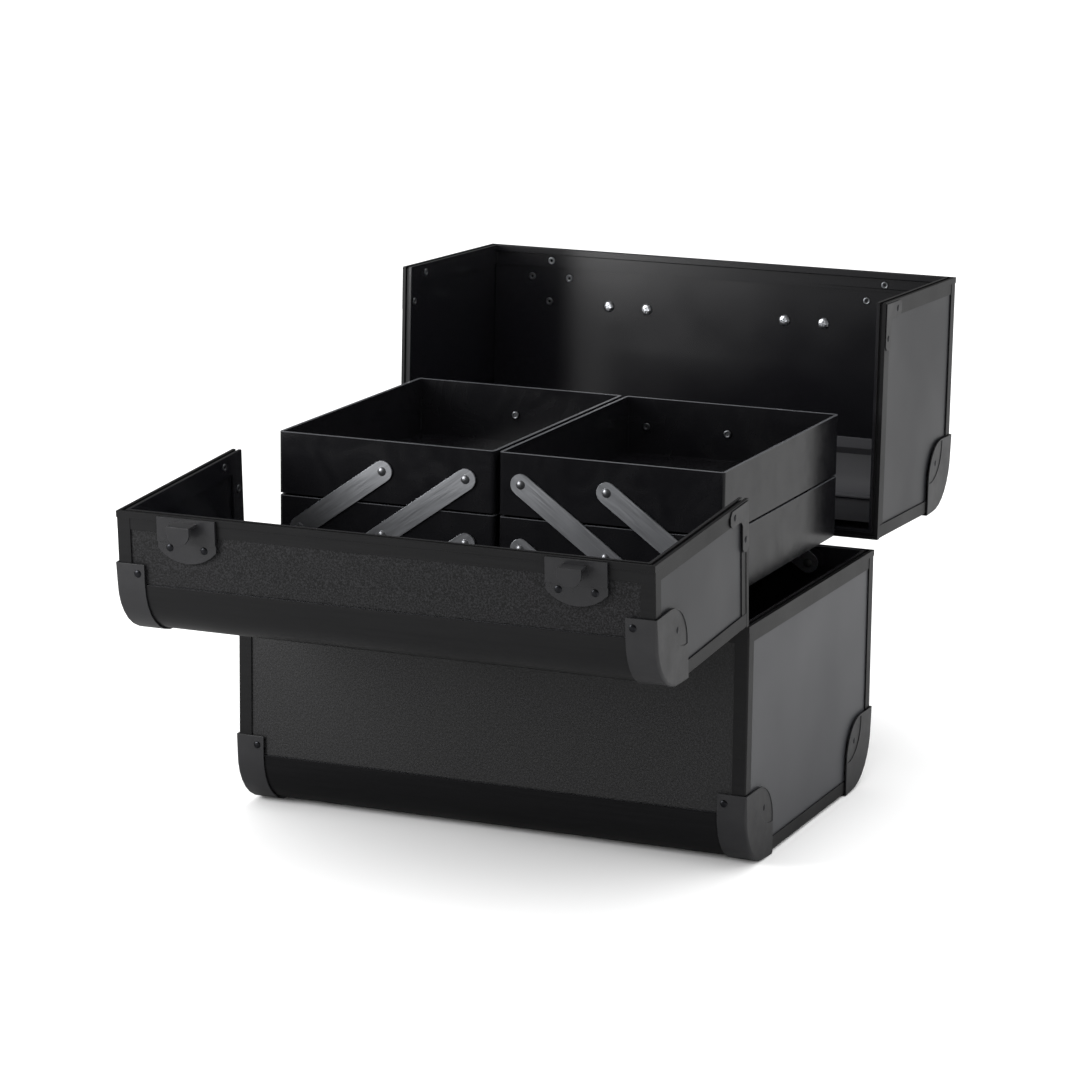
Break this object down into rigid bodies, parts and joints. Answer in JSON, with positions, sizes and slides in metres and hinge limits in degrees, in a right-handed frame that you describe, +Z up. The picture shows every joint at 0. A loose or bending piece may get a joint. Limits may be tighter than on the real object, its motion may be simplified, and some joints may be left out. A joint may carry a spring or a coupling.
{
  "type": "makeup train case",
  "caption": "Rigid black makeup train case with split lids hinged front and back, cantilever trays on metal arms, corner caps, draw latches and a folding handle.",
  "frame": {"origin": "centre of the bottom panel's underside, on the surface the case stands on", "axes": "+X to the right along the case's length, +Y to the back, +Z up"},
  "size_m": [0.3826, 0.6407, 0.3492],
  "materials": {
    "satin_black_aluminium": "satin black anodised extrusion",
    "pebbled_black_sheet": "fine pebbled black sheet",
    "satin_black_sheet": "satin black sheet",
    "black_lacquered_steel": "satin black lacquer",
    "glossy_black_plastic": "glossy black",
    "satin_steel_strip": "satin steel strip",
    "black_handle_plastic": "matt black"
  },
  "bodies": {
    "base": {"base_frame": "satin_black_aluminium", "base_front_panel": "pebbled_black_sheet", "base_back_panel": "pebbled_black_sheet", "base_bottom_panel": "pebbled_black_sheet", "base_left_end_panel": "satin_black_sheet", "base_right_end_panel": "satin_black_sheet", "base_front_bullnose": "satin_black_aluminium", "base_back_bullnose": "satin_black_aluminium", "base_front_left_corner_cap": "black_lacquered_steel", "base_front_right_corner_cap": "black_lacquered_steel", "base_back_left_corner_cap": "black_lacquered_steel", "base_back_right_corner_cap": "black_lacquered_steel", "front_hinge_base_leaf": "black_lacquered_steel", "back_hinge_base_leaf": "black_lacquered_steel"},
    "front_lid": {"front_lid_frame": "satin_black_aluminium", "front_lid_wall_panel": "pebbled_black_sheet", "front_lid_top_panel": "pebbled_black_sheet", "front_lid_left_end_panel": "satin_black_sheet", "front_lid_right_end_panel": "satin_black_sheet", "front_lid_bullnose": "satin_black_aluminium", "front_lid_left_corner_cap": "black_lacquered_steel", "front_lid_right_corner_cap": "black_lacquered_steel", "front_hinge_lid_leaf": "black_lacquered_steel", "left_latch_catch": "black_lacquered_steel", "right_latch_catch": "black_lacquered_steel"},
    "back_lid": {"back_lid_frame": "satin_black_aluminium", "back_lid_wall_panel": "pebbled_black_sheet", "back_lid_top_panel": "pebbled_black_sheet", "back_lid_left_end_panel": "satin_black_sheet", "back_lid_right_end_panel": "satin_black_sheet", "back_lid_bullnose": "satin_black_aluminium", "back_lid_left_corner_cap": "black_lacquered_steel", "back_lid_right_corner_cap": "black_lacquered_steel", "back_hinge_lid_leaf": "black_lacquered_steel", "left_latch_plate": "black_lacquered_steel", "right_latch_plate": "black_lacquered_steel", "left_handle_bracket": "black_lacquered_steel", "right_handle_bracket": "black_lacquered_steel"},
    "handle": {"carry_handle": "black_handle_plastic"},
    "left_latch_lever": {"left_latch_lever": "black_lacquered_steel"},
    "left_latch_loop": {"left_latch_loop": "black_lacquered_steel"},
    "right_latch_lever": {"right_latch_lever": "black_lacquered_steel"},
    "right_latch_loop": {"right_latch_loop": "black_lacquered_steel"},
    "left_long_arms": {"left_front_long_arm": "satin_steel_strip", "left_back_long_arm": "satin_steel_strip"},
    "left_lower_arms": {"left_front_lower_arm": "satin_steel_strip", "left_back_lower_arm": "satin_steel_strip"},
    "left_upper_arms": {"left_front_upper_arm": "satin_steel_strip", "left_back_upper_arm": "satin_steel_strip"},
    "left_lower_tray": {"left_lower_tray": "glossy_black_plastic"},
    "left_upper_tray": {"left_upper_tray": "glossy_black_plastic"},
    "right_long_arms": {"right_front_long_arm": "satin_steel_strip", "right_back_long_arm": "satin_steel_strip"},
    "right_lower_arms": {"right_front_lower_arm": "satin_steel_strip", "right_back_lower_arm": "satin_steel_strip"},
    "right_upper_arms": {"right_front_upper_arm": "satin_steel_strip", "right_back_upper_arm": "satin_steel_strip"},
    "right_lower_tray": {"right_lower_tray": "glossy_black_plastic"},
    "right_upper_tray": {"right_upper_tray": "glossy_black_plastic"}
  },
  "joints": [
    {"name": "front_lid_hinge", "type": "hinge", "parent": "base", "child": "front_lid", "pos_m": [0, -0.132, 0.17125], "axis": [1, 0, 0], "range_deg": [-94, 0]},
    {"name": "back_lid_hinge", "type": "hinge", "parent": "base", "child": "back_lid", "pos_m": [0, 0.1365, 0.17125], "axis": [-1, 0, 0], "range_deg": [-91.5, 0]},
    {"name": "handle_fold", "type": "hinge", "parent": "back_lid", "child": "handle", "pos_m": [0, 0.31605, 0.3026], "axis": [1, 0, 0], "range_deg": [0, 90]},
    {"name": "left_latch_lever_lift", "type": "hinge", "parent": "back_lid", "child": "left_latch_lever", "pos_m": [-0.1375, 0.31359, 0.33467], "axis": [1, 0, 0], "range_deg": [0, 95]},
    {"name": "left_latch_loop_swing", "type": "hinge", "parent": "left_latch_lever", "child": "left_latch_loop", "pos_m": [-0.1375, 0.31642, 0.32809], "axis": [-1, 0, 0], "range_deg": [-180, 0]},
    {"name": "right_latch_lever_lift", "type": "hinge", "parent": "back_lid", "child": "right_latch_lever", "pos_m": [0.1375, 0.31359, 0.33467], "axis": [1, 0, 0], "range_deg": [0, 95]},
    {"name": "right_latch_loop_swing", "type": "hinge", "parent": "right_latch_lever", "child": "right_latch_loop", "pos_m": [0.1375, 0.31642, 0.32809], "axis": [-1, 0, 0], "range_deg": [-180, 0]},
    {"name": "left_column_swing", "type": "hinge", "parent": "base", "child": "left_long_arms", "pos_m": [-0.148, 0, 0.1595], "axis": [0, -1, 0], "range_deg": [0, 108]},
    {"name": "left_lower_arm_pivot", "type": "hinge", "parent": "base", "child": "left_lower_arms", "pos_m": [-0.0852, 0, 0.1595], "axis": [0, -1, 0], "range_deg": [0, 108]},
    {"name": "left_lower_tray_pivot", "type": "hinge", "parent": "left_long_arms", "child": "left_lower_tray", "pos_m": [-0.0852, 0, 0.2045], "axis": [0, -1, 0], "range_deg": [-108, 0]},
    {"name": "left_upper_tray_pivot", "type": "hinge", "parent": "left_long_arms", "child": "left_upper_tray", "pos_m": [-0.0224, 0, 0.2495], "axis": [0, -1, 0], "range_deg": [-108, 0]},
    {"name": "left_upper_arm_pivot", "type": "hinge", "parent": "left_lower_tray", "child": "left_upper_arms", "pos_m": [-0.148, 0, 0.2045], "axis": [0, -1, 0], "range_deg": [0, 108]},
    {"name": "right_column_swing", "type": "hinge", "parent": "base", "child": "right_long_arms", "pos_m": [0.1442, 0, 0.1595], "axis": [0, 1, 0], "range_deg": [0, 108]},
    {"name": "right_lower_arm_pivot", "type": "hinge", "parent": "base", "child": "right_lower_arms", "pos_m": [0.0814, 0, 0.1595], "axis": [0, 1, 0], "range_deg": [0, 108]},
    {"name": "right_lower_tray_pivot", "type": "hinge", "parent": "right_long_arms", "child": "right_lower_tray", "pos_m": [0.0814, 0, 0.2045], "axis": [0, 1, 0], "range_deg": [-108, 0]},
    {"name": "right_upper_tray_pivot", "type": "hinge", "parent": "right_long_arms", "child": "right_upper_tray", "pos_m": [0.0186, 0, 0.2495], "axis": [0, 1, 0], "range_deg": [-108, 0]},
    {"name": "right_upper_arm_pivot", "type": "hinge", "parent": "right_lower_tray", "child": "right_upper_arms", "pos_m": [0.1442, 0, 0.2045], "axis": [0, 1, 0], "range_deg": [0, 108]}
  ],
  "couplings": [
    {"joint": "left_lower_arm_pivot", "follows": "left_column_swing", "ratio": 1},
    {"joint": "left_lower_tray_pivot", "follows": "left_column_swing", "ratio": -1},
    {"joint": "left_upper_tray_pivot", "follows": "left_column_swing", "ratio": -1},
    {"joint": "left_upper_arm_pivot", "follows": "left_column_swing", "ratio": 1},
    {"joint": "right_lower_arm_pivot", "follows": "right_column_swing", "ratio": 1},
    {"joint": "right_lower_tray_pivot", "follows": "right_column_swing", "ratio": -1},
    {"joint": "right_upper_tray_pivot", "follows": "right_column_swing", "ratio": -1},
    {"joint": "right_upper_arm_pivot", "follows": "right_column_swing", "ratio": 1}
  ]
}
